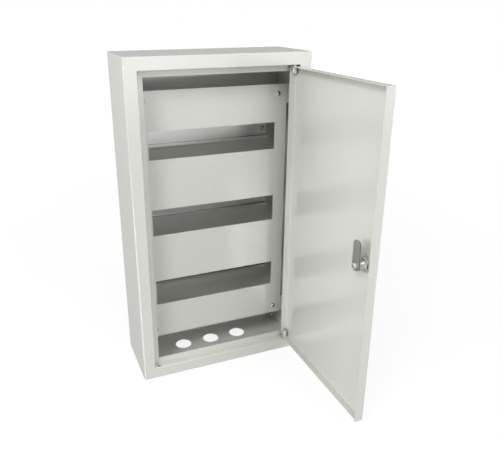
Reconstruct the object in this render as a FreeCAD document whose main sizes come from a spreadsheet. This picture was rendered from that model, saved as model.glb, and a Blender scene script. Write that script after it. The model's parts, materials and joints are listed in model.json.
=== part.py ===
import FreeCAD, Part
import math
import os
import re

import Sketcher
from FreeCAD import Placement, Rotation, Vector

# Sheet-steel distribution box with three rows of DIN rail, an inner cover plate and a
# recessed pan door on pin hinges with a cam lock.
#
# Every sub-part is drawn in one drawing frame: origin at the box's front lower left corner,
# +X to the right, +Y to the back, +Z up, door closed. new_body() then moves it so that the
# part's origin is the centre of the back face, and swings the door's sub-parts open.

DIMENSIONS = {
    # Box, folded from one gauge of sheet
    "width": 300,
    "height": 540,
    "depth": 120,
    "sheet": 1.2,
    "bend": 2,
    "border": 20,
    "recess": 13.5,
    "ear": 2,
    "lip": 10,
    "edge_round": 1,
    "cap_round": 0.9,
    "cable_hole": 30,
    "cable_pitch": 55,
    "cable_behind": 82,
    "wall_hole": 6.5,
    "wall_holes_wide": 210,
    "wall_holes_tall": 470,
    # Inner cover plate and its brackets
    "cover_front": 45,
    "cover_wide": 261,
    "cover_tall": 432,
    "cover_corner": 6,
    "window_wide": 220,
    "window_tall": 46,
    "row_pitch": 130,
    "cover_screws_wide": 230,
    "cover_screws_tall": 402,
    "cover_head": 7.6,
    "cover_head_deep": 2.6,
    "cover_shank": 3.9,
    "cover_shank_long": 9,
    "bracket_sheet": 1.5,
    "bracket_wide": 44,
    "bracket_deep": 24,
    "bracket_tall": 32,
    # DIN rails, TH35-7.5
    "rail_front": 107,
    "rail_tall": 35,
    "rail_deep": 7.5,
    "rail_sheet": 1,
    "rail_crown": 27,
    "rail_long": 252,
    "rail_screws_wide": 236,
    "rail_head": 8.6,
    "rail_head_deep": 3,
    "rail_shank": 4.9,
    "boss_across": 14,
    # Terminal bars
    "strip_front": 84,
    "strip_deep": 8,
    "strip_tall": 10,
    "strip_level": 205,
    "strip_long": 108,
    "strip_pitch": 8.5,
    "neutral_left": 36,
    "earth_left": 156,
    "wire_hole": 5,
    "clamp_head": 6,
    "clamp_head_deep": 3,
    "clamp_shank": 3.9,
    "foot_wide": 9,
    "foot_tall": 18,
    # Earth stud
    "stud_right": 14,
    "stud_level": 18,
    "stud_across": 6,
    "stud_long": 27,
    "stud_nut_flats": 10,
    "stud_nut_deep": 5,
    "stud_washer": 12,
    "stud_washer_deep": 1.6,
    # Door
    "door_gap": 2,
    "door_proud": 1.7,
    "door_return": 12,
    "lock_return": 15,
    "door_bend": 2.5,
    "door_corner": 4,
    "relief": 1,
    "hinge_inset": 7.4,
    "hinge_behind": 4.3,
    "pin_across": 5,
    "barrel_across": 8.4,
    "barrel_long": 9.5,
    "pin_tail": 1.5,
    "pin_reach": 4.2,
    "open_angle": 90,
    # Cam lock
    "lock_inset": 27.5,
    "lock_rise": 1.5,
    "collar_across": 22,
    "collar_deep": 3,
    "lock_across": 16.5,
    "lock_flats": 14.5,
    "lock_washer_across": 26,
    "lock_washer_deep": 1.5,
    "lock_nut_flats": 20,
    "lock_nut_deep": 4.5,
    "nut_slot_wide": 1.8,
    "nut_slot_tall": 7,
    "nut_slot_deep": 1.5,
    "plug_across": 12,
    "plug_step": 0.8,
    "key_wide": 1.8,
    "key_tall": 8,
    "key_deep": 3,
    "cam_gap": 0.3,
    "cam_sheet": 2,
    "cam_wide": 16,
    "cam_reach": 38,
    "cam_square": 8,
    "cam_washer_across": 12,
    "cam_washer_deep": 1,
    "cam_head": 9.6,
    "cam_head_deep": 2.6,
    "cam_shank": 4.9,
    "cam_shank_long": 6,
    # Fits, as differences in diameter
    "running_play": 0.1,
    "screw_play": 0.1,
    "clearance_play": 0.6,
}

PLANES = {"XY": ("XY_Plane", 1), "XZ": ("XZ_Plane", -1), "YZ": ("YZ_Plane", 1)}
TERMINALS = 12
CLOSE = 1e-4

doc = FreeCAD.newDocument("LoadCenter")
cells = doc.addObject("Spreadsheet::Sheet", "Dimensions")
for row, (word, value) in enumerate(DIMENSIONS.items(), start=1):
    cells.set(f"A{row}", word)
    cells.set(f"B{row}", str(value))
    cells.setAlias(f"B{row}", word)
workings = doc.addObject("Spreadsheet::Sheet", "Workings")
doc.recompute()

# Places that several sub-parts share, as formulas over the sheet's cells
DOOR_LEFT = "border + door_gap"
DOOR_RIGHT = "width - border - door_gap"
DOOR_LOW = "border + door_gap"
DOOR_HIGH = "height - border - door_gap"
DOOR_FACE = "0 - door_proud"
HINGE = ("width - border - hinge_inset", "hinge_behind")
SPARE_HINGE = ("border + hinge_inset", "hinge_behind")
LOCK = ("border + door_gap + lock_inset", "height / 2 + lock_rise")
CAM_FRONT = "recess + sheet + cam_gap"
CAM_BACK = "recess + sheet + cam_gap + cam_sheet"
RAIL_LEVELS = {
    "top": "height / 2 + row_pitch",
    "middle": "height / 2",
    "bottom": "height / 2 - row_pitch",
}


def size(word):
    """A cell's value, for the few places that need a number."""
    return float(cells.get(word))


def formula(text):
    """Point each word of a formula at its cell."""
    return re.sub(r"[a-z_]{2,}", r"Dimensions.\g<0>", text)


def spread(centre, distance):
    """The two places that lie a distance apart about a centre."""
    return f"{centre} - {distance} / 2", f"{centre} + {distance} / 2"


# Building blocks ------------------------------------------------------------------------

def new_body(label, on_door=False):
    """A named sub-part, placed by the centre of the box's back face."""
    body = doc.addObject("PartDesign::Body", label)
    body.Label = label
    back_centre = Vector(size("width") / 2, size("depth"), size("height") / 2)
    place = Placement(-back_centre, Rotation())
    if on_door:
        hinge = Vector(size("width") - size("border") - size("hinge_inset"), size("hinge_behind"), 0)
        swing = Rotation(Vector(0, 0, 1), size("open_angle"))
        place = place.multiply(Placement(Vector(), swing, hinge))
    body.Placement = place
    return body


def new_sketch(body, name, plane, start):
    """A sketch parallel to an origin plane, at a place along that plane's axis."""
    role, side = PLANES[plane]
    sketch = body.newObject("Sketcher::SketchObject", name)
    support = next(item for item in body.Origin.OriginFeatures if item.Role == role)
    sketch.AttachmentSupport = (support, [""])
    sketch.MapMode = "FlatFace"
    sketch.setExpression("AttachmentOffset.Base.z", formula(f"{side} * ({start})"))
    return sketch


def tie(sketch, element, vertex, place):
    """Fix one point of a sketch at a pair of formulas."""
    for kind, text in zip(("DistanceX", "DistanceY"), place):
        first_guess = element + 1.0
        constraint = Sketcher.Constraint(kind, -1, 1, element, vertex, first_guess)
        index = sketch.addConstraint(constraint)
        sketch.setExpression(f"Constraints[{index}]", formula(text))


def draw_outline(sketch, corners):
    """A closed outline of straight lines through corners given as pairs of formulas."""
    first = sketch.GeometryCount
    count = len(corners)
    ring = [Vector(math.cos(2 * math.pi * i / count), math.sin(2 * math.pi * i / count), 0)
            for i in range(count)]
    for index in range(count):
        sketch.addGeometry(Part.LineSegment(ring[index], ring[(index + 1) % count]))
    for index in range(count):
        after = first + (index + 1) % count
        sketch.addConstraint(Sketcher.Constraint("Coincident", first + index, 2, after, 1))
    for index, corner in enumerate(corners):
        tie(sketch, first + index, 1, corner)


def extrude(body, name, sketch, plane, start, end, cut):
    """Pad or pocket a sketch from its own plane towards the positive axis."""
    side = PLANES[plane][1]
    feature = body.newObject("PartDesign::Pocket" if cut else "PartDesign::Pad", name)
    feature.Profile = (sketch, [""])
    feature.setExpression("Length", formula(f"({end}) - ({start})"))
    feature.Reversed = (side < 0) != cut
    doc.recompute()
    return feature


def prism(body, name, plane, outlines, start, end, cut=False):
    """Straight-sided prisms between two places along the plane's axis."""
    sketch = new_sketch(body, name + "Sketch", plane, start)
    for corners in outlines:
        draw_outline(sketch, corners)
    return extrude(body, name, sketch, plane, start, end, cut)


def rounds(body, name, plane, centres, across, start, end, cut=False):
    """Round rods or bores of one diameter between two places along the plane's axis."""
    sketch = new_sketch(body, name + "Sketch", plane, start)
    for centre in centres:
        index = sketch.addGeometry(Part.Circle(Vector(1, 1, 0), Vector(0, 0, 1), 1))
        tie(sketch, index, 3, centre)
        diameter = sketch.addConstraint(Sketcher.Constraint("Diameter", index, 1.0))
        sketch.setExpression(f"Constraints[{diameter}]", formula(across))
    return extrude(body, name, sketch, plane, start, end, cut)


def rectangle(left, low, right, high):
    """Corners of an upright rectangle."""
    return [(left, low), (right, low), (right, high), (left, high)]


def hexagon(centre, flats):
    """Corners of a hexagon with two flats upright."""
    across, up = centre
    half = f"({flats}) / 2"
    short = f"({flats}) / 2 * 0.57735"
    long = f"({flats}) * 0.57735"
    steps = [(half, short), ("0", long), (f"0 - {half}", short),
             (f"0 - {half}", f"0 - {short}"), ("0", f"0 - {long}"), (half, f"0 - {short}")]
    return [(f"{across} + ({dx})", f"{up} + ({dz})") for dx, dz in steps]


def cross(centre, span, slot):
    """Corners of the cross recess of a screw head."""
    across, up = centre
    far = f"({span}) / 2"
    near = f"({slot}) / 2"
    quarter = [(far, near), (near, near), (near, far)]
    corners = []
    for sign_x, sign_z in ((1, 1), (-1, 1), (-1, -1), (1, -1)):
        points = quarter if sign_x * sign_z > 0 else quarter[::-1]
        corners += [(f"{across} + {sign_x} * {dx}", f"{up} + {sign_z} * {dz}") for dx, dz in points]
    return corners


def on(edge, **place):
    """Whether every end of an edge lies at the given coordinates."""
    return all(abs(getattr(vertex.Point, axis) - value) < CLOSE
               for vertex in edge.Vertexes for axis, value in place.items())


def fillet(body, name, radius, chosen):
    """Round the edges of the body's last feature that a test chooses."""
    base = body.Tip
    names = [f"Edge{index}" for index, edge in enumerate(base.Shape.Edges, start=1) if chosen(edge)]
    if not names:
        raise RuntimeError(f"{body.Label}: {name} found no edge")
    feature = body.newObject("PartDesign::Fillet", name)
    feature.Base = (base, names)
    feature.setExpression("Radius", formula(radius))
    doc.recompute()
    return feature


def mirror_across(text, right):
    """A place from the left side, or its mirror image from the right side."""
    return f"width - ({text})" if right else text


def mirror_up(text, top):
    """A place from the bottom, or its mirror image from the top."""
    return f"height - ({text})" if top else text


def ordered(low, high, swapped):
    """A span's two ends, lower one first after mirroring."""
    return (high, low) if swapped else (low, high)


def screws(label, centres, seat, shape, on_door=False):
    """Pan-head screws that point to the back: head in front of the seat, shank behind it."""
    body = new_body(label, on_door)
    front = f"({seat}) - {shape['head_deep']}"
    rounds(body, "Head", "XZ", centres, shape["head"], front, seat)
    head_front = value_of(front)
    fillet(body, "Dome", f"{shape['head_deep']} * 0.6", lambda edge: on(edge, y=head_front))
    rounds(body, "Shank", "XZ", centres, shape["shank"], seat, f"({seat}) + {shape['shank_long']}")
    crosses = [cross(centre, f"{shape['head']} * 0.55", f"{shape['head']} * 0.14") for centre in centres]
    prism(body, "Recess", "XZ", crosses, front, f"({front}) + {shape['head_deep']} * 0.6", cut=True)
    return body


def value_of(text):
    """Work out a formula in the sheet of workings."""
    workings.set("A1", "=" + formula(text))
    workings.recompute()
    return float(workings.get("A1"))


# Box ------------------------------------------------------------------------------------

def body_wrap():
    """Both sides, the back and the upright front borders, folded from one sheet."""
    body = new_body("body_wrap")
    left_half = [
        ("sheet", "depth - sheet"), ("sheet", "sheet"), ("border - sheet", "sheet"),
        ("border - sheet", "recess + sheet"), ("border + lip", "recess + sheet"),
        ("border + lip", "recess"), ("border", "recess"), ("border", "0"), ("0", "0"), ("0", "depth"),
    ]
    right_half = [(f"width - ({x})", y) for x, y in reversed(left_half)]
    prism(body, "Folded", "XY", [left_half + right_half], "sheet", "height - sheet")
    width, depth, border = size("width"), size("depth"), size("border")
    outer = [(0, 0), (0, depth), (width, 0), (width, depth)]
    opening = [(border, 0), (width - border, 0)]
    fillet(body, "Folds", "bend", lambda edge: any(on(edge, x=x, y=y) for x, y in outer))
    fillet(body, "OpeningFolds", "edge_round", lambda edge: any(on(edge, x=x, y=y) for x, y in opening))
    corners = []
    for right in (False, True):
        for top in (False, True):
            ends = [mirror_across(text, right) for text in ("border", "border + lip")]
            levels = [mirror_up(text, top) for text in ("0", "border")]
            corners.append(rectangle(ends[0], levels[0], ends[1], levels[1]))
    prism(body, "LipEnds", "XZ", corners, "sheet", "recess + 2 * sheet", cut=True)
    ears = [rectangle(*ear) for ear in ear_places(False) + ear_places(True)]
    prism(body, "BorderEnds", "XZ", ears, "0 - sheet", "recess + 2 * sheet", cut=True)
    holes = [(x, z) for x in spread("width / 2", "wall_holes_wide")
             for z in spread("height / 2", "wall_holes_tall")]
    rounds(body, "WallHoles", "XZ", holes, "wall_hole", "depth - 2 * sheet", "depth + sheet", cut=True)


def ear_places(top):
    """Corners of the two ears by which an end panel's border laps past the upright borders' folds."""
    low, high = ordered(mirror_up("sheet", top), mirror_up("border", top), top)
    return [("border - ear", low, "border", high), ("width - border", low, "width - border + ear", high)]


def end_panel(label, top):
    """Top or bottom: a cap, the border folded down from it, the recess floor and its lip."""
    body = new_body(label)

    def levels(low, high):
        return ordered(mirror_up(low, top), mirror_up(high, top), top)

    width, depth = size("width"), size("depth")
    outside = size("height") if top else 0
    prism(body, "Cap", "XY", [rectangle("0", "0", "width", "depth")], *levels("0", "sheet"))
    corners = [(0, 0), (0, depth), (width, 0), (width, depth)]
    fillet(body, "Corners", "bend", lambda edge: any(on(edge, x=x, y=y) for x, y in corners))
    fillet(body, "Rim", "cap_round", lambda edge: on(edge, z=outside))
    section = [("0", "sheet"), ("0", "border"), ("recess + sheet", "border"),
               ("recess + sheet", "border - sheet"), ("sheet", "border - sheet"), ("sheet", "sheet")]
    section = [(y, mirror_up(z, top)) for y, z in section]
    prism(body, "Border", "YZ", [section], "border", "width - border")
    fold_level = size("height") - size("border") if top else size("border")
    fillet(body, "OpeningFold", "edge_round", lambda edge: on(edge, y=0, z=fold_level))
    prism(body, "Ears", "XZ", [rectangle(*ear) for ear in ear_places(top)], "0", "recess + sheet")
    low, high = levels("border", "border + lip")
    prism(body, "Lip", "XZ", [rectangle("border + lip", low, "width - border - lip", high)],
          "recess", "recess + sheet")
    rounds(body, "PinHoles", "XY", [HINGE, SPARE_HINGE], "pin_across + running_play",
           *levels("border - 2 * sheet", "border + sheet"), cut=True)
    return body


def bottom_panel():
    """The bottom adds a row of three cable holes."""
    body = end_panel("bottom_panel", top=False)
    centres = [(f"width / 2 + {step} * cable_pitch", "cable_behind") for step in (-1, 0, 1)]
    rounds(body, "CableHoles", "XY", centres, "cable_hole", "0 - sheet", "2 * sheet", cut=True)


def cover_bracket(label, right, top):
    """Angle bracket welded to a side, with a tapped hole for the cover plate's screw."""
    body = new_body(label)
    face = "cover_front + sheet"
    section = [("sheet", face), ("bracket_wide", face), ("bracket_wide", f"{face} + bracket_sheet"),
               ("sheet + bracket_sheet", f"{face} + bracket_sheet"),
               ("sheet + bracket_sheet", f"{face} + bracket_deep"), ("sheet", f"{face} + bracket_deep")]
    section = [(mirror_across(x, right), y) for x, y in section]
    low = "(height - cover_tall) / 2"
    span = ordered(mirror_up(low, top), mirror_up(f"{low} + bracket_tall", top), top)
    prism(body, "Angle", "XY", [section], *span)
    across = spread("width / 2", "cover_screws_wide")[right]
    level = spread("height / 2", "cover_screws_tall")[top]
    rounds(body, "Tapped", "XZ", [(across, level)], "cover_shank + screw_play",
           "cover_front", f"{face} + 2 * bracket_sheet", cut=True)


# Cover plate ----------------------------------------------------------------------------

def cover_screw_places():
    return [(x, z) for x in spread("width / 2", "cover_screws_wide")
            for z in spread("height / 2", "cover_screws_tall")]


def cover_plate():
    """Flat plate with one window for each row of modules."""
    body = new_body("cover_plate")
    sides = spread("width / 2", "cover_wide")
    ends = spread("height / 2", "cover_tall")
    prism(body, "Plate", "XZ", [rectangle(sides[0], ends[0], sides[1], ends[1])],
          "cover_front", "cover_front + sheet")
    fillet(body, "PlateCorners", "cover_corner",
           lambda edge: abs(edge.Length - size("sheet")) < CLOSE)
    left, right = spread("width / 2", "window_wide")
    windows = []
    for level in RAIL_LEVELS.values():
        low, high = spread(level, "window_tall")
        windows.append(rectangle(left, low, right, high))
    prism(body, "Windows", "XZ", windows, "cover_front - sheet", "cover_front + 2 * sheet", cut=True)
    rounds(body, "ScrewHoles", "XZ", cover_screw_places(), "cover_shank + clearance_play",
           "cover_front - sheet", "cover_front + 2 * sheet", cut=True)


def cover_screws():
    screws("cover_screws", cover_screw_places(), "cover_front",
           {"head": "cover_head", "head_deep": "cover_head_deep",
            "shank": "cover_shank", "shank_long": "cover_shank_long"})


# DIN rails ------------------------------------------------------------------------------

def din_rail(row):
    """Hat-section rail with its brim to the front and a screw hole near each end."""
    body = new_body(f"din_rail_{row}")
    level = RAIL_LEVELS[row]
    crown = "rail_crown / 2"
    inner = "(rail_crown / 2 - rail_sheet)"
    brim = "rail_tall / 2"
    upper = [("rail_front + rail_deep", crown), ("rail_front + rail_sheet", crown),
             ("rail_front + rail_sheet", brim), ("rail_front", brim), ("rail_front", inner),
             ("rail_front + rail_deep - rail_sheet", inner)]
    section = [(y, f"{level} + {z}") for y, z in upper]
    section += [(y, f"{level} - {z}") for y, z in reversed(upper)]
    prism(body, "Hat", "YZ", [section], *spread("width / 2", "rail_long"))
    rounds(body, "ScrewHoles", "XZ", rail_screw_places(level), "rail_shank + clearance_play",
           "rail_front", "rail_front + rail_deep + rail_sheet", cut=True)


def rail_screw_places(level):
    return [(x, level) for x in spread("width / 2", "rail_screws_wide")]


def all_rail_screw_places():
    return [place for level in RAIL_LEVELS.values() for place in rail_screw_places(level)]


def rail_bosses():
    """Threaded bosses welded to the back, which the rails stand on."""
    body = new_body("rail_bosses")
    span = ("rail_front + rail_deep", "depth - sheet")
    rounds(body, "Bosses", "XZ", all_rail_screw_places(), "boss_across", *span)
    rounds(body, "Threads", "XZ", all_rail_screw_places(), "rail_shank + screw_play",
           "rail_front", "depth - sheet", cut=True)


def rail_screws():
    screws("rail_screws", all_rail_screw_places(), "rail_front + rail_deep - rail_sheet",
           {"head": "rail_head", "head_deep": "rail_head_deep",
            "shank": "rail_shank", "shank_long": "(rail_sheet + 4)"})


# Terminal bars --------------------------------------------------------------------------

def terminal_bar(name, left):
    """A drilled brass bar, its two feet on the back, and a clamping screw for each wire."""
    wires = [f"{left} + strip_long / 2 + ({index} - {TERMINALS - 1} / 2) * strip_pitch"
             for index in range(TERMINALS)]
    low, high = spread("strip_level", "strip_tall")
    strip = new_body(f"{name}_bar")
    prism(strip, "Bar", "XZ", [rectangle(left, low, f"{left} + strip_long", high)],
          "strip_front", "strip_front + strip_deep")
    rounds(strip, "WireHoles", "XY", [(x, "strip_front + strip_deep / 2") for x in wires],
           "wire_hole", f"{low} - 1", f"{high} + 1", cut=True)
    rounds(strip, "Threads", "XZ", [(x, "strip_level") for x in wires], "clamp_shank + screw_play",
           "strip_front - 1", "strip_front + strip_deep / 2", cut=True)

    feet = new_body(f"{name}_bar_feet")
    foot_low, foot_high = spread("strip_level", "foot_tall")
    ends = [(left, f"{left} + foot_wide"),
            (f"{left} + strip_long - foot_wide", f"{left} + strip_long")]
    prism(feet, "Feet", "XZ", [rectangle(a, foot_low, b, foot_high) for a, b in ends],
          "strip_front + strip_deep", "depth - sheet")

    clamps = new_body(f"{name}_bar_screws")
    places = [(x, "strip_level") for x in wires]
    front = "strip_front - clamp_head_deep"
    rounds(clamps, "Heads", "XZ", places, "clamp_head", front, "strip_front")
    rounds(clamps, "Shanks", "XZ", places, "clamp_shank", "strip_front", "strip_front + 1.5")
    slots = [rectangle(f"{x} - 0.5", "strip_level - clamp_head", f"{x} + 0.5", "strip_level + clamp_head")
             for x in wires]
    prism(clamps, "Slots", "XZ", slots, front, f"{front} + 1.2", cut=True)


def earth_stud():
    """Welded stud with a washer and a nut for the earth wires."""
    place = ("width - stud_right", "stud_level")
    wall = "depth - sheet"
    stud = new_body("earth_stud")
    tip = f"{wall} - stud_long"
    rounds(stud, "Stud", "XZ", [place], "stud_across", tip, wall)
    tip_place = value_of(tip)
    fillet(stud, "Tip", "stud_across * 0.15", lambda edge: on(edge, y=tip_place))

    washer = new_body("earth_washer")
    washer_front = f"{wall} - stud_washer_deep"
    rounds(washer, "Disc", "XZ", [place], "stud_washer", washer_front, wall)
    rounds(washer, "Hole", "XZ", [place], "stud_across + clearance_play", washer_front, wall, cut=True)

    nut = new_body("earth_nut")
    nut_front = f"{washer_front} - stud_nut_deep"
    prism(nut, "Hexagon", "XZ", [hexagon(place, "stud_nut_flats")], nut_front, washer_front)
    rounds(nut, "Thread", "XZ", [place], "stud_across + screw_play", nut_front, washer_front, cut=True)


# Door -----------------------------------------------------------------------------------

def door_panel():
    """Pan door: a face with four returns, the one on the lock side deeper."""
    body = new_body("door_panel", on_door=True)
    back = "lock_return - door_proud"
    shallow = "door_return - door_proud"
    prism(body, "Block", "XZ", [rectangle(DOOR_LEFT, DOOR_LOW, DOOR_RIGHT, DOOR_HIGH)], DOOR_FACE, back)
    face = -size("door_proud")
    fillet(body, "OuterFolds", "door_bend", lambda edge: on(edge, y=face))
    inside = rectangle(f"{DOOR_LEFT} + sheet", f"{DOOR_LOW} + sheet",
                       f"{DOOR_RIGHT} - sheet", f"{DOOR_HIGH} - sheet")
    prism(body, "Inside", "XZ", [inside], f"sheet + {DOOR_FACE}", f"{back} + 1", cut=True)
    inner_face = size("sheet") - size("door_proud")
    fillet(body, "InnerFolds", "door_bend - sheet", lambda edge: on(edge, y=inner_face))
    spare = [
        (f"{DOOR_LEFT} + sheet", f"{DOOR_LOW} - 1"), (f"{DOOR_RIGHT} + 1", f"{DOOR_LOW} - 1"),
        (f"{DOOR_RIGHT} + 1", f"{DOOR_HIGH} + 1"), (f"{DOOR_LEFT} + sheet", f"{DOOR_HIGH} + 1"),
        (f"{DOOR_LEFT} + sheet", f"{DOOR_HIGH} - 2 * sheet"),
        (f"{DOOR_RIGHT} - 2 * sheet", f"{DOOR_HIGH} - 2 * sheet"),
        (f"{DOOR_RIGHT} - 2 * sheet", f"{DOOR_LOW} + 2 * sheet"),
        (f"{DOOR_LEFT} + sheet", f"{DOOR_LOW} + 2 * sheet"),
    ]
    prism(body, "ShallowReturns", "XZ", [spare], shallow, f"{back} + 1", cut=True)
    reliefs = []
    for left, right in ((f"{DOOR_LEFT} + sheet", f"{DOOR_LEFT} + sheet + relief"),
                        (f"{DOOR_RIGHT} - sheet - relief", f"{DOOR_RIGHT} - sheet")):
        reliefs.append(rectangle(left, f"{DOOR_LOW} - 1", right, f"{DOOR_LOW} + 2 * sheet"))
        reliefs.append(rectangle(left, f"{DOOR_HIGH} - 2 * sheet", right, f"{DOOR_HIGH} + 1"))
    prism(body, "CornerReliefs", "XZ", reliefs, f"{DOOR_FACE} + door_bend + sheet", f"{shallow} + 1", cut=True)
    low, high = value_of(DOOR_LOW), value_of(DOOR_HIGH)
    flange, right = value_of(shallow), value_of(DOOR_RIGHT)
    fillet(body, "HingeCorners", "door_corner",
           lambda edge: (on(edge, y=flange, z=low) or on(edge, y=flange, z=high))
           and all(vertex.Point.x > right - 2 * size("sheet") for vertex in edge.Vertexes))
    deep = value_of(back)
    fillet(body, "LockCorners", "door_corner / 2",
           lambda edge: on(edge, y=deep, z=low) or on(edge, y=deep, z=high))
    rounds(body, "PinHoles", "XY", [HINGE], "pin_across + running_play",
           f"{DOOR_LOW} - 1", f"{DOOR_LOW} + 2 * sheet", cut=True)
    rounds(body, "PinHolesTop", "XY", [HINGE], "pin_across + running_play",
           f"{DOOR_HIGH} - 2 * sheet", f"{DOOR_HIGH} + 1", cut=True)
    rounds(body, "LockHole", "XZ", [LOCK], "lock_across + clearance_play",
           f"{DOOR_FACE} - 1", f"{DOOR_FACE} + 2 * sheet", cut=True)


def hinge(name, top):
    """Barrel welded in the door's corner, and the pin that reaches into the box's hole."""
    near = f"{DOOR_LOW} + sheet"
    far = f"{near} + barrel_long"
    span = ordered(mirror_up(near, top), mirror_up(far, top), top)
    barrel = new_body(f"hinge_barrel_{name}", on_door=True)
    rounds(barrel, "Tube", "XY", [HINGE], "barrel_across", *span)
    inner_end = value_of(mirror_up(far, top))
    fillet(barrel, "End", "barrel_across / 8", lambda edge: on(edge, z=inner_end))
    rounds(barrel, "Bore", "XY", [HINGE], "pin_across + running_play", *span, cut=True)

    pin = new_body(f"hinge_pin_{name}", on_door=True)
    ends = ordered(mirror_up("border - pin_reach", top), mirror_up(f"{far} + pin_tail", top), top)
    rounds(pin, "Pin", "XY", [HINGE], "pin_across", *ends)
    fillet(pin, "Ends", "pin_across / 4", lambda edge: len(edge.Vertexes) == 1)


# Cam lock -------------------------------------------------------------------------------

def lock_fixed_parts():
    """Lock body with its front collar, and the washer and nut that clamp it to the door."""
    inner_face = f"sheet + {DOOR_FACE}"
    housing = new_body("lock_body", on_door=True)
    collar_front = f"{DOOR_FACE} - collar_deep"
    rounds(housing, "Collar", "XZ", [LOCK], "collar_across", collar_front, DOOR_FACE)
    collar_place = value_of(collar_front)
    fillet(housing, "CollarRim", "collar_deep * 0.4", lambda edge: on(edge, y=collar_place))
    tail = f"{CAM_FRONT} - plug_step"
    rounds(housing, "Thread", "XZ", [LOCK], "lock_across", DOOR_FACE, tail)
    rounds(housing, "PlugBore", "XZ", [LOCK], "plug_across + running_play", collar_front, tail, cut=True)
    across, up = LOCK
    flats = [rectangle(f"{across} + {side} * lock_flats / 2", f"{up} - lock_across",
                       f"{across} + {side} * lock_across", f"{up} + lock_across") for side in (-1, 1)]
    prism(housing, "Flats", "XZ", flats, f"{inner_face} + lock_washer_deep + lock_nut_deep", tail, cut=True)

    washer = new_body("lock_washer", on_door=True)
    washer_back = f"{inner_face} + lock_washer_deep"
    rounds(washer, "Disc", "XZ", [LOCK], "lock_washer_across", inner_face, washer_back)
    rounds(washer, "Hole", "XZ", [LOCK], "lock_across + clearance_play", inner_face, washer_back, cut=True)

    nut = new_body("lock_nut", on_door=True)
    nut_back = f"{washer_back} + lock_nut_deep"
    prism(nut, "Hexagon", "XZ", [hexagon(LOCK, "lock_nut_flats")], washer_back, nut_back)
    rounds(nut, "Thread", "XZ", [LOCK], "lock_across + screw_play", washer_back, nut_back, cut=True)
    slot_sides = spread(f"{washer_back} + lock_nut_deep / 2", "nut_slot_wide")
    slot_levels = spread(up, "nut_slot_tall")
    slot = rectangle(slot_sides[0], slot_levels[0], slot_sides[1], slot_levels[1])
    prism(nut, "DriveSlot", "YZ", [slot], f"{across} - lock_nut_flats / 2 - 1",
          f"{across} - lock_nut_flats / 2 + nut_slot_deep", cut=True)


def lock_moving_parts():
    """Plug with its key slot and square tail, the cam on it, and the screw that holds the cam."""
    across, up = LOCK
    plug = new_body("lock_plug", on_door=True)
    front = f"{DOOR_FACE} - collar_deep + 0.4"
    rounds(plug, "Plug", "XZ", [LOCK], "plug_across", front, CAM_FRONT)
    sides = spread(across, "cam_square")
    levels = spread(up, "cam_square")
    prism(plug, "Square", "XZ", [rectangle(sides[0], levels[0], sides[1], levels[1])],
          CAM_FRONT, f"{CAM_BACK} - 0.1")
    key_sides = spread(across, "key_wide")
    key_levels = spread(up, "key_tall")
    prism(plug, "KeySlot", "XZ", [rectangle(key_sides[0], key_levels[0], key_sides[1], key_levels[1])],
          front, f"{front} + key_deep", cut=True)
    rounds(plug, "Thread", "XZ", [LOCK], "cam_shank + screw_play",
           f"{CAM_BACK} - cam_shank_long - 1", CAM_BACK, cut=True)

    cam = new_body("lock_cam", on_door=True)
    blade = rectangle(f"{across} - cam_wide / 2", f"{up} - cam_wide / 2",
                      f"{across} + cam_wide / 2", f"{up} + cam_reach")
    prism(cam, "Blade", "XZ", [blade], CAM_FRONT, CAM_BACK)
    foot, tip = value_of(f"{up} - cam_wide / 2"), value_of(f"{up} + cam_reach")
    fillet(cam, "Foot", "cam_wide * 0.48", lambda edge: on(edge, z=foot) and is_across(edge))
    fillet(cam, "TipRound", "cam_wide * 0.36", lambda edge: on(edge, z=tip) and is_across(edge))
    hole_sides = spread(across, "(cam_square + screw_play)")
    hole_levels = spread(up, "(cam_square + screw_play)")
    hole = rectangle(hole_sides[0], hole_levels[0], hole_sides[1], hole_levels[1])
    prism(cam, "SquareHole", "XZ", [hole], f"{CAM_FRONT} - 1", f"{CAM_BACK} + 1", cut=True)

    washer = new_body("cam_washer", on_door=True)
    washer_back = f"{CAM_BACK} + cam_washer_deep"
    rounds(washer, "Disc", "XZ", [LOCK], "cam_washer_across", CAM_BACK, washer_back)
    rounds(washer, "Hole", "XZ", [LOCK], "cam_shank + clearance_play", CAM_BACK, washer_back, cut=True)

    screw = new_body("cam_screw", on_door=True)
    head_back = f"{washer_back} + cam_head_deep"
    rounds(screw, "Head", "XZ", [LOCK], "cam_head", washer_back, head_back)
    head_place = value_of(head_back)
    fillet(screw, "Dome", "cam_head_deep * 0.6", lambda edge: on(edge, y=head_place))
    rounds(screw, "Shank", "XZ", [LOCK], "cam_shank", f"{CAM_BACK} - cam_shank_long", washer_back)
    prism(screw, "Recess", "XZ", [cross(LOCK, "cam_head * 0.5", "cam_head * 0.13")],
          f"{head_back} - cam_head_deep * 0.6", head_back, cut=True)


def is_across(edge):
    """Whether an edge runs through the sheet, from front to back."""
    ends = [vertex.Point for vertex in edge.Vertexes]
    return len(ends) == 2 and abs(ends[0].x - ends[1].x) < CLOSE and abs(ends[0].z - ends[1].z) < CLOSE


body_wrap()
end_panel("top_panel", top=True)
bottom_panel()
for side, right in (("left", False), ("right", True)):
    for end, top in (("bottom", False), ("top", True)):
        cover_bracket(f"cover_bracket_{end}_{side}", right, top)
cover_plate()
cover_screws()
for row in RAIL_LEVELS:
    din_rail(row)
rail_bosses()
rail_screws()
terminal_bar("neutral", "neutral_left")
terminal_bar("earth", "earth_left")
earth_stud()
door_panel()
hinge("top", top=True)
hinge("bottom", top=False)
lock_fixed_parts()
lock_moving_parts()
doc.recompute()

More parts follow.
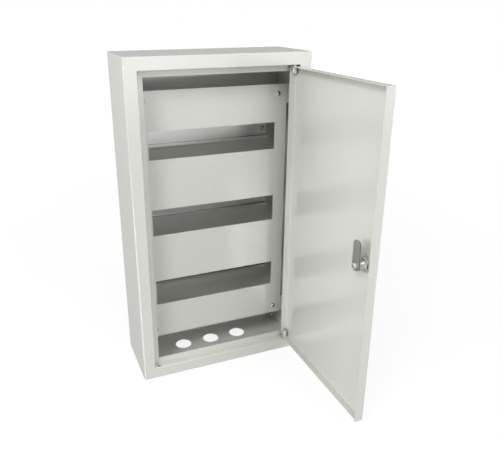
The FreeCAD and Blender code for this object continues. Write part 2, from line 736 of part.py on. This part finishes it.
bodies = [item for item in doc.Objects if item.TypeId == "PartDesign::Body"]
failed = [item.Label for item in doc.Objects if {"Invalid", "Error"} & set(item.State)]
failed += [body.Label for body in bodies if body.Shape.isNull() or not body.Shape.isValid()]
if failed:
    raise RuntimeError("failed: " + ", ".join(failed))
os.makedirs("parts", exist_ok=True)
for body in bodies:
    body.Shape.exportStep(f"parts/{body.Label}.step")
    box = body.Shape.BoundBox
    print(f"{body.Label}: {len(body.Shape.Solids)} solids, {body.Shape.Volume:.0f} mm3, "
          f"x {box.XMin:.1f} {box.XMax:.1f}, y {box.YMin:.1f} {box.YMax:.1f}, z {box.ZMin:.1f} {box.ZMax:.1f}")
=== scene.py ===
import json
import math

import bmesh
import bpy
from mathutils import Euler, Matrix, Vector


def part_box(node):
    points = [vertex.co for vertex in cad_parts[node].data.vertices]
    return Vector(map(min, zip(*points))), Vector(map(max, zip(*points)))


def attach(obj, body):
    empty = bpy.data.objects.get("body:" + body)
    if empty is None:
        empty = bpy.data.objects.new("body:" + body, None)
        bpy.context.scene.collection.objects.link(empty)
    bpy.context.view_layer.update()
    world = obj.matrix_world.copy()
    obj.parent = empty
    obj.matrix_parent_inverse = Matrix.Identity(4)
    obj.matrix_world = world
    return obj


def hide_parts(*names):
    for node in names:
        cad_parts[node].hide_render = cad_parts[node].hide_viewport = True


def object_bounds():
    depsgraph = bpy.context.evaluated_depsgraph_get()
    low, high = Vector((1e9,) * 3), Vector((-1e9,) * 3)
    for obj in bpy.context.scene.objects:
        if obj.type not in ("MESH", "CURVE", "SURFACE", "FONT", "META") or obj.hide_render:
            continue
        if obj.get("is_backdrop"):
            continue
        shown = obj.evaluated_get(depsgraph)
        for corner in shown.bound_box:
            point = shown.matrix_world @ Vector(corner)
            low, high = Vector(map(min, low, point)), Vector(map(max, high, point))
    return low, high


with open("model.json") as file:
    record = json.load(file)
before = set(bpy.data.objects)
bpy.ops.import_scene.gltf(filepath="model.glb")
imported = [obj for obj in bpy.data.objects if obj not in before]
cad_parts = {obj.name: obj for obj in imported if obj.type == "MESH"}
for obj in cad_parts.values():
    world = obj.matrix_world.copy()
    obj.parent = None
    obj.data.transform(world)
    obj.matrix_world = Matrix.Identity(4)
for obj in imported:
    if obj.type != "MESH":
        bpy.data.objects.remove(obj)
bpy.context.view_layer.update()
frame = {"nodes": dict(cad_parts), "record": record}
NODES = frame["nodes"]
SUBPARTS = frame["record"]["subparts"]

MM = 0.001

# Colours in linear RGB, and white with its alpha
PAINT = (0.520, 0.526, 0.486)
PAINT_THIN = (0.600, 0.606, 0.566)
ZINC = (0.460, 0.460, 0.450)
RAIL_ZINC = (0.680, 0.678, 0.660)
ZINC_DULL = (0.430, 0.427, 0.415)
STEEL = (0.560, 0.550, 0.530)
CHROME = (0.740, 0.720, 0.705)
# A near-black laid as painted shade in the lock's slot and thread roots
CREVICE_SHADE = (0.030, 0.028, 0.025)
BRASS = (0.780, 0.560, 0.230)
BLUE = (0.020, 0.090, 0.330)
GREEN = (0.020, 0.200, 0.050)
WHITE = (1, 1, 1, 1)

# Settings of the materials. A pattern's own name holds its features per metre. A SPAN is the part of a
# value's range that is stretched over the whole effect. A SHADE is the share of the colour that is left,
# and a SHARE the most that is mixed in. DEPTH and REACH are in metres, and ROUGH is the lowest and the
# highest roughness.
NOISE_SPAN = (0.3, 0.7)
NOISE_MIDDLE = (0.35, 0.65)
OPENNESS_SAMPLES = 8

# Powder coat
PAINT_CLOUD = 7
PAINT_CLOUD_SHADE = 0.992
PAINT_PEEL = 420
PAINT_PEEL_DEPTH = 0.032 * MM
PAINT_GRIT = 1700
PAINT_GRIT_DEPTH = 0.010 * MM
PAINT_THIN_SPAN = (0.45, 0.75)
PAINT_THIN_SHARE = 0.35
# Painted shade: the paint darkens in corners and slots narrower than this reach, down to the share below
PAINT_CORNER_REACH = 14 * MM
PAINT_CORNER_SPAN = (0.10, 0.50)
PAINT_CORNER_SHADE = 0.35
PAINT_ROUGH = (0.165, 0.215)
PAINT_SPECULAR = 0.82

# Plated steel; a GRAIN scales the coordinates, so its small number draws the lines out along that axis
PLATE_STREAKS = 1300
PLATE_STREAK_DEPTH = 0.0003 * MM
PLATE_PATCHES = 16
PLATE_PATCH_SHADE = 0.95
# Faces that look up take a painted shade over this span of how far they look up
PLATE_UPWARD_SPAN = (0.6, 0.95)
PLATE_ROUGH_SWING = 0.015
RAIL_GRAIN = (0.03, 1, 1)
PIN_GRAIN = (1, 1, 0.1)

# Satin chrome
CHROME_LINES = 1500
CHROME_LINE_DEPTH = 0.001 * MM
CHROME_GRAIN = (0.1, 1, 1)
CHROME_MARKS = 160
CHROME_MARK_SPAN = (0.4, 0.7)
CHROME_MARK_SHADE = 0.9
# Painted shade darkens the chrome in the slot and thread roots narrower than this reach
CHROME_SHADE_REACH = 3 * MM
CHROME_SHADE_SPAN = (0.35, 0.75)
CHROME_ROUGH = (0.34, 0.42)
CHROME_ROUGH_SPAN = (0.35, 0.7)
CHROME_METAL = 0.75

# Drawn brass
BRASS_LINES = 1400
BRASS_LINE_DEPTH = 0.008 * MM
BRASS_GRAIN = (0.04, 1, 1)
BRASS_TARNISH = 70
BRASS_TARNISH_SPAN = (0.35, 0.7)
BRASS_TARNISH_SHADE = 0.72
BRASS_ROUGH = (0.24, 0.38)

# Moulded plastic
MOULD_TEXTURE = 1800
MOULD_TEXTURE_DEPTH = 0.02 * MM
MOULD_CLOUD = 45
MOULD_CLOUD_SHADE = 0.82
MOULD_ROUGH = (0.45, 0.6)

# Edges sharper than this angle in degrees are rounded, by a width in metres for each finish
EDGE_ANGLE = 35
EDGE_SEGMENTS = 2
EDGE_ROUND = {
    "painted_sheet": 0.25 * MM,
    "rail_zinc": 0.15 * MM,
    "lock_chrome": 0.25 * MM,
    "lock_zinc": 0.2 * MM,
}

# The lock body, in metres; at the tail's end the thread is cut to THREAD_TAIL_CUT of its depth
THREAD_RADIUS = 8.25 * MM
THREAD_PITCH = 1.25 * MM
THREAD_DEPTH = 0.55 * MM
THREAD_TAIL_CUT = 0.6
THREAD_STEPS = 96
RINGS_PER_PITCH = 8
FLAT_HALF = 7.25 * MM
COLLAR_DEEP = 3.0 * MM
COLLAR_ROUND = 1.2 * MM
COLLAR_STEPS = 6
COLLAR_WALL = 4.95 * MM
BORE_CHAMFER = 0.3 * MM

# The camera: its place from the wall face in metres, its turn in degrees, lens and sensor in millimetres
CAMERA_PLACE = (-0.30267, -0.91981, 0.33563)
CAMERA_AZIMUTH = 21.98
CAMERA_DOWN = 21.46
CAMERA_LENS = 39.94
CAMERA_SENSOR = 36
CAMERA_SHIFT = (0.0286, -0.0014)
CAMERA_CLIP = (0.01, 60)

# Lights: azimuth round the object (0 in front, 90 to the right), height angle, side in metres, watts
LIGHTS = {
    "key": (-48, 40, 0.8, 41.5),
    "left_low": (-75, 8, 1.0, 28.0),
    "left_back": (-110, 8, 1.5, 20.0),
    "left_back_high": (-110, 40, 1.5, 17.0),
    "front_low": (0, 8, 1.5, 15.3),
    "right_low": (25, 8, 1.5, 12.5),
    "right": (25, 40, 1.5, 31.0),
    "overhead": (0, 70, 1.5, 11.4),
    "floor_sheen": (-20, -30, 1.5, 68.5),
    "door_side": (60, -15, 1.5, 16.0),
    "behind_left": (-145, 4, 1.5, 8.0),
    "behind_right": (108, 4, 1.5, 18.0),
}
LIGHT_DISTANCE = 3.0
AMBIENT = 0.418
BACKDROP = 1.0

# The floor's own glow rises over this reach in metres from the middle, and keeps it white to the horizon
FLOOR_REACH = (0.8, 3.0)
FLOOR_GLOW = (0.828, 0.955)
FLOOR_DARK = (0.150, 0.150, 0.150)
FLOOR_LIGHT = (0.160, 0.160, 0.160)
FLOOR_CLOUD = 3
FLOOR_ROUGH = 0.9
FLOOR_RADIUS = 12
FLOOR_SIDES = 96
FLOOR_DROP = 0.5 * MM


# Node helpers ---------------------------------------------------------------------------

def shaded(tint, share):
    """A colour darkened to a share of itself."""
    return tuple(value * share for value in tint)


class Shader:
    """A new material's node tree, with short calls for the nodes it needs."""

    def __init__(self, name):
        self.material = bpy.data.materials.new(name)
        self.material.use_nodes = True
        self.tree = self.material.node_tree
        self.surface = self.tree.nodes["Principled BSDF"]
        self.place = self.add("ShaderNodeTexCoord").outputs["Object"]

    def add(self, kind, **settings):
        node = self.tree.nodes.new(kind)
        for key, value in settings.items():
            setattr(node, key, value)
        return node

    def link(self, source, target):
        self.tree.links.new(source, target)

    def set(self, **values):
        for key, value in values.items():
            self.surface.inputs[key.replace("_", " ")].default_value = value

    def stretch(self, scale):
        """Object coordinates scaled by three factors."""
        node = self.add("ShaderNodeMapping")
        node.inputs["Scale"].default_value = scale
        self.link(self.place, node.inputs["Vector"])
        return node.outputs["Vector"]

    def noise(self, scale, detail=2.0, rough=0.5, place=None):
        """Noise from 0 to 1, on the object's coordinates unless a place is given."""
        node = self.add("ShaderNodeTexNoise")
        node.inputs["Scale"].default_value = scale
        node.inputs["Detail"].default_value = detail
        node.inputs["Roughness"].default_value = rough
        self.link(place or self.place, node.inputs["Vector"])
        return node.outputs["Fac"]

    def span(self, source, window, result=(0, 1)):
        """Map a value from a window to a result range, clamped."""
        node = self.add("ShaderNodeMapRange")
        for key, value in zip(("From Min", "From Max", "To Min", "To Max"), (*window, *result)):
            node.inputs[key].default_value = value
        self.link(source, node.inputs["Value"])
        return node.outputs["Result"]

    def mix(self, factor, first, second):
        """Blend two colours, each a tuple or an output."""
        node = self.add("ShaderNodeMix", data_type="RGBA")
        self.link(factor, node.inputs["Factor"])
        colours = [socket for socket in node.inputs if socket.type == "RGBA"]
        for value, socket in zip((first, second), colours):
            if isinstance(value, tuple):
                socket.default_value = (*value, 1)
            else:
                self.link(value, socket)
        return next(socket for socket in node.outputs if socket.type == "RGBA")

    def openness(self, reach):
        """1 on open faces, less in corners and slots narrower than the reach; it sets where painted shade
        is laid.
        """
        node = self.add("ShaderNodeAmbientOcclusion", samples=OPENNESS_SAMPLES)
        node.inputs["Distance"].default_value = reach
        return node.outputs["AO"]

    def upward(self):
        """How far the surface looks up, from -1 to 1."""
        node = self.add("ShaderNodeSeparateXYZ")
        self.link(self.add("ShaderNodeTexCoord").outputs["Normal"], node.inputs["Vector"])
        return node.outputs["Z"]

    def colour(self, source):
        self.link(source, self.surface.inputs["Base Color"])

    def roughness(self, source):
        self.link(source, self.surface.inputs["Roughness"])

    def bump(self, *layers):
        """Stack bump layers given as (height output, depth in metres)."""
        normal = None
        for height, depth in layers:
            node = self.add("ShaderNodeBump")
            node.inputs["Strength"].default_value = 1.0
            node.inputs["Distance"].default_value = depth
            self.link(height, node.inputs["Height"])
            if normal is not None:
                self.link(normal, node.inputs["Normal"])
            normal = node.outputs["Normal"]
        self.link(normal, self.surface.inputs["Normal"])


# Materials ------------------------------------------------------------------------------

def powder_coat():
    """Semi-gloss powder coat: orange peel over a fine grit, faint clouds, and painted shade in tight
    corners and slots.
    """
    shader = Shader("powder_coat")
    cloud = shader.noise(PAINT_CLOUD, detail=2)
    peel = shader.noise(PAINT_PEEL, detail=2, rough=0.6)
    grit = shader.noise(PAINT_GRIT, detail=1)
    base = shader.mix(shader.span(cloud, NOISE_MIDDLE), shaded(PAINT, PAINT_CLOUD_SHADE), PAINT)
    thin = shader.span(peel, PAINT_THIN_SPAN, (0, PAINT_THIN_SHARE))
    base = shader.mix(thin, base, PAINT_THIN)
    # Painted shade in tight corners and slots, where little of the surroundings is open
    unshaded = shader.span(shader.openness(PAINT_CORNER_REACH), PAINT_CORNER_SPAN)
    shader.colour(shader.mix(unshaded, shaded(PAINT, PAINT_CORNER_SHADE), base))
    shader.roughness(shader.span(peel, NOISE_SPAN, PAINT_ROUGH))
    shader.set(Specular_IOR_Level=PAINT_SPECULAR)
    shader.bump((peel, PAINT_PEEL_DEPTH), (grit, PAINT_GRIT_DEPTH))
    return shader.material


def plated(name, tint, rough, grain=(1, 1, 1), up_shade=1.0, metal=1.0):
    """Plated steel: fine drawing lines, an uneven sheen, and a painted shade on faces that look up."""
    shader = Shader(name)
    streaks = shader.noise(PLATE_STREAKS, detail=2, place=shader.stretch(grain))
    patch = shader.noise(PLATE_PATCHES, detail=2)
    base = shader.mix(shader.span(patch, NOISE_SPAN), shaded(tint, PLATE_PATCH_SHADE), tint)
    # Painted shade on faces that look up, down to the given share of the colour
    facing_up = shader.span(shader.upward(), PLATE_UPWARD_SPAN)
    shader.colour(shader.mix(facing_up, base, shaded(tint, up_shade)))
    sheen = (rough - PLATE_ROUGH_SWING, rough + PLATE_ROUGH_SWING)
    shader.roughness(shader.span(streaks, NOISE_SPAN, sheen))
    shader.set(Metallic=metal)
    shader.bump((streaks, PLATE_STREAK_DEPTH))
    return shader.material


def chrome():
    """Satin chrome on the lock: polishing lines, faint marks, and painted shade in thread and slot."""
    shader = Shader("lock_chrome_satin")
    lines = shader.noise(CHROME_LINES, detail=2, place=shader.stretch(CHROME_GRAIN))
    marks = shader.noise(CHROME_MARKS, detail=4)
    marked = shaded(CHROME, CHROME_MARK_SHADE)
    open_metal = shader.mix(shader.span(marks, CHROME_MARK_SPAN), CHROME, marked)
    # Painted shade in the slot and thread roots
    unshaded = shader.span(shader.openness(CHROME_SHADE_REACH), CHROME_SHADE_SPAN)
    shader.colour(shader.mix(unshaded, CREVICE_SHADE, open_metal))
    shader.roughness(shader.span(marks, CHROME_ROUGH_SPAN, CHROME_ROUGH))
    shader.set(Metallic=CHROME_METAL)
    shader.bump((lines, CHROME_LINE_DEPTH))
    return shader.material


def drawn_brass():
    """Drawn brass with lines along the bar and slight tarnish."""
    shader = Shader("drawn_brass")
    lines = shader.noise(BRASS_LINES, detail=2, place=shader.stretch(BRASS_GRAIN))
    tarnish = shader.noise(BRASS_TARNISH, detail=5)
    tarnished = shaded(BRASS, BRASS_TARNISH_SHADE)
    shader.colour(shader.mix(shader.span(tarnish, BRASS_TARNISH_SPAN), BRASS, tarnished))
    shader.roughness(shader.span(tarnish, NOISE_SPAN, BRASS_ROUGH))
    shader.set(Metallic=1.0)
    shader.bump((lines, BRASS_LINE_DEPTH))
    return shader.material


def moulded(name, tint):
    """Matt moulded plastic with a fine spark-eroded texture."""
    shader = Shader(name)
    texture = shader.noise(MOULD_TEXTURE, detail=3)
    cloud = shader.noise(MOULD_CLOUD, detail=3)
    shader.colour(shader.mix(shader.span(cloud, NOISE_MIDDLE), tint, shaded(tint, MOULD_CLOUD_SHADE)))
    shader.roughness(shader.span(texture, NOISE_SPAN, MOULD_ROUGH))
    shader.bump((texture, MOULD_TEXTURE_DEPTH))
    return shader.material


MATERIALS = {
    "painted_sheet": powder_coat(),
    # The rail's faces that look up take a painted shade
    "rail_zinc": plated("rail_zinc_bright", RAIL_ZINC, rough=0.30, grain=RAIL_GRAIN, up_shade=0.18, metal=0.8),
    "plated_screws": plated("screw_zinc", ZINC, rough=0.20),
    "terminal_brass": drawn_brass(),
    "neutral_feet": moulded("blue_moulding", BLUE),
    "earth_feet": moulded("green_moulding", GREEN),
    "hinge_steel": plated("hinge_zinc", STEEL, rough=0.50, grain=PIN_GRAIN, metal=0.35),
    "lock_chrome": chrome(),
    "lock_zinc": plated("lock_zinc_dull", ZINC_DULL, rough=0.46),
}
# Pieces with another finish than the one of their slot
FINISH = {
    "lock_nut": MATERIALS["lock_chrome"],
    "lock_washer": MATERIALS["lock_chrome"],
    "cam_screw": plated("cam_screw_satin", STEEL, rough=0.55, metal=0.8),
}
for part in SUBPARTS:
    node = NODES[part["node"]]
    node.data.materials.clear()
    node.data.materials.append(FINISH.get(part["node"], MATERIALS[part["material_slot"]]))


# Threaded lock body ---------------------------------------------------------------------

def ring_solid(name, rings):
    """A closed solid from rings of points, each joined to the next and the last to the first."""
    mesh = bpy.data.meshes.new(name)
    shape = bmesh.new()
    rows = [[shape.verts.new(point) for point in ring] for ring in rings]
    count = len(rows[0])
    for row, after in zip(rows, rows[1:] + rows[:1]):
        for i in range(count):
            j = (i + 1) % count
            shape.faces.new((row[i], row[j], after[j], after[i]))
    bmesh.ops.recalc_face_normals(shape, faces=shape.faces)
    for face in shape.faces:
        face.smooth = True
    for edge in shape.edges:
        edge.smooth = edge.calc_face_angle(0) < math.radians(EDGE_ANGLE)
    shape.to_mesh(mesh)
    shape.free()
    piece = bpy.data.objects.new(name, mesh)
    bpy.context.scene.collection.objects.link(piece)
    return piece


def threaded_lock_body():
    """The lock body with its cut thread, two flats on the tail and a rounded collar."""
    low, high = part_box("lock_body")
    nut_low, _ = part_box("lock_nut")
    bore = (high.y - low.y) / 2 - COLLAR_WALL
    collar = (high.y - low.y) / 2
    axis = Vector((0, (low.y + high.y) / 2, (low.z + high.z) / 2))
    turns = [2 * math.pi * i / THREAD_STEPS for i in range(THREAD_STEPS)]

    def circle(x, radius):
        return [axis + Vector((x, radius * math.cos(turn), radius * math.sin(turn))) for turn in turns]

    def thread(x, cut):
        """A ring of the thread, cut to a share of its depth, and flat on two sides behind the nut."""
        points = []
        for turn in turns:
            phase = (x / THREAD_PITCH - turn / (2 * math.pi)) % 1
            radius = THREAD_RADIUS - THREAD_DEPTH * cut * (0.5 + 0.5 * math.cos(2 * math.pi * phase))
            across, up = radius * math.cos(turn), radius * math.sin(turn)
            if x < nut_low.x:
                across = max(-FLAT_HALF, min(FLAT_HALF, across))
            points.append(axis + Vector((x, across, up)))
        return points

    collar_back = high.x - COLLAR_DEEP
    rings = [circle(high.x, bore), circle(high.x, collar - COLLAR_ROUND)]
    for i in range(1, COLLAR_STEPS + 1):
        turn = math.pi / 2 * i / COLLAR_STEPS
        x = high.x - COLLAR_ROUND * (1 - math.cos(turn))
        radius = collar - COLLAR_ROUND * (1 - math.sin(turn))
        rings.append(circle(x, radius))
    rings.append(circle(collar_back, collar))
    length = collar_back - low.x
    count = round(length / THREAD_PITCH * RINGS_PER_PITCH)
    for i in range(count + 1):
        x = collar_back - length * i / count
        cut = min(1, (collar_back - x) / THREAD_PITCH, (x - low.x) / THREAD_PITCH + THREAD_TAIL_CUT)
        rings.append(thread(x, cut))
    rings.append(circle(low.x, bore + BORE_CHAMFER))
    rings.append(circle(low.x + BORE_CHAMFER, bore))
    piece = ring_solid("lock_body_threaded", rings)
    piece.data.materials.append(MATERIALS["lock_chrome"])
    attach(piece, "door")
    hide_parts("lock_body")


threaded_lock_body()


# Rounded edges --------------------------------------------------------------------------

def soften(node, width):
    """Round a CAD node's sharp edges by a small width, as paint or tumbling leaves them."""
    bevel = node.modifiers.new("edge_round", "BEVEL")
    bevel.width = width
    bevel.segments = EDGE_SEGMENTS
    bevel.limit_method = "ANGLE"
    bevel.angle_limit = math.radians(EDGE_ANGLE)
    bevel.harden_normals = True


for part in SUBPARTS:
    width = EDGE_ROUND.get(part["material_slot"])
    if width:
        soften(NODES[part["node"]], width)


# Studio ---------------------------------------------------------------------------------

def direction(azimuth, height):
    """Unit vector from the object towards a light."""
    around, up = math.radians(azimuth), math.radians(height)
    return Vector((math.sin(around) * math.cos(up), -math.cos(around) * math.cos(up), math.sin(up)))


def softboxes(centre):
    """Square area lights round the centre, all at one distance from it and turned towards it."""
    for name, (azimuth, height, side, watts) in LIGHTS.items():
        data = bpy.data.lights.new(name, "AREA")
        data.shape = "SQUARE"
        data.size = side
        data.energy = watts
        lamp = bpy.data.objects.new(name, data)
        toward = direction(azimuth, height)
        lamp.location = centre + toward * LIGHT_DISTANCE
        lamp.rotation_mode = "QUATERNION"
        lamp.rotation_quaternion = toward.to_track_quat("Z", "Y")
        bpy.context.scene.collection.objects.link(lamp)


def surroundings():
    """An even white ambient light, and a brighter white where the camera looks past the floor."""
    world = bpy.data.worlds.new("studio")
    world.use_nodes = True
    tree = world.node_tree
    ambient = tree.nodes["Background"]
    backdrop = tree.nodes.new("ShaderNodeBackground")
    for background, strength in ((ambient, AMBIENT), (backdrop, BACKDROP)):
        background.inputs["Color"].default_value = WHITE
        background.inputs["Strength"].default_value = strength
    seen = tree.nodes.new("ShaderNodeLightPath")
    mixed = tree.nodes.new("ShaderNodeMixShader")
    tree.links.new(seen.outputs["Is Camera Ray"], mixed.inputs["Fac"])
    tree.links.new(ambient.outputs["Background"], mixed.inputs[1])
    tree.links.new(backdrop.outputs["Background"], mixed.inputs[2])
    tree.links.new(mixed.outputs["Shader"], tree.nodes["World Output"].inputs["Surface"])
    bpy.context.scene.world = world
    bpy.context.scene.view_settings.view_transform = "Standard"


def pale_floor(level):
    """A wide pale disc just under a level, with a glow of its own, that sheds no light on the object."""
    mesh = bpy.data.meshes.new("floor")
    shape = bmesh.new()
    bmesh.ops.create_circle(shape, cap_ends=True, segments=FLOOR_SIDES, radius=FLOOR_RADIUS)
    shape.to_mesh(mesh)
    shape.free()
    floor = bpy.data.objects.new("floor", mesh)
    floor.location = (0, 0, level - FLOOR_DROP)
    bpy.context.scene.collection.objects.link(floor)
    shader = Shader("pale_floor")
    shader.colour(shader.mix(shader.noise(FLOOR_CLOUD, detail=3), FLOOR_DARK, FLOOR_LIGHT))
    reach = shader.add("ShaderNodeVectorMath", operation="LENGTH")
    shader.link(shader.place, reach.inputs[0])
    glow = shader.span(reach.outputs["Value"], FLOOR_REACH, FLOOR_GLOW)
    shader.link(glow, shader.surface.inputs["Emission Strength"])
    shader.set(Roughness=FLOOR_ROUGH, Specular_IOR_Level=0.0, Emission_Color=WHITE)
    mesh.materials.append(shader.material)
    floor.visible_diffuse = False
    floor.visible_glossy = False
    floor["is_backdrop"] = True


def studio():
    """Softboxes round the object, an even ambient light, and a pale floor."""
    low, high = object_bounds()
    softboxes((low + high) / 2)
    surroundings()
    pale_floor(low.z)


def camera():
    """The photo's view: the open box from its front left, a little above it."""
    data = bpy.data.cameras.new("camera")
    data.sensor_width = CAMERA_SENSOR
    data.lens = CAMERA_LENS
    data.shift_x, data.shift_y = CAMERA_SHIFT
    data.clip_start, data.clip_end = CAMERA_CLIP
    viewer = bpy.data.objects.new("camera", data)
    wall_face = next(mount for mount in frame["record"]["mounts"] if mount["name"] == "wall_face")
    viewer.location = Vector(wall_face["pos_m"]) + Vector(CAMERA_PLACE)
    viewer.rotation_euler = Euler((math.radians(90 - CAMERA_DOWN), 0, math.radians(-CAMERA_AZIMUTH)))
    bpy.context.scene.collection.objects.link(viewer)
    bpy.context.scene.camera = viewer


studio()
camera()
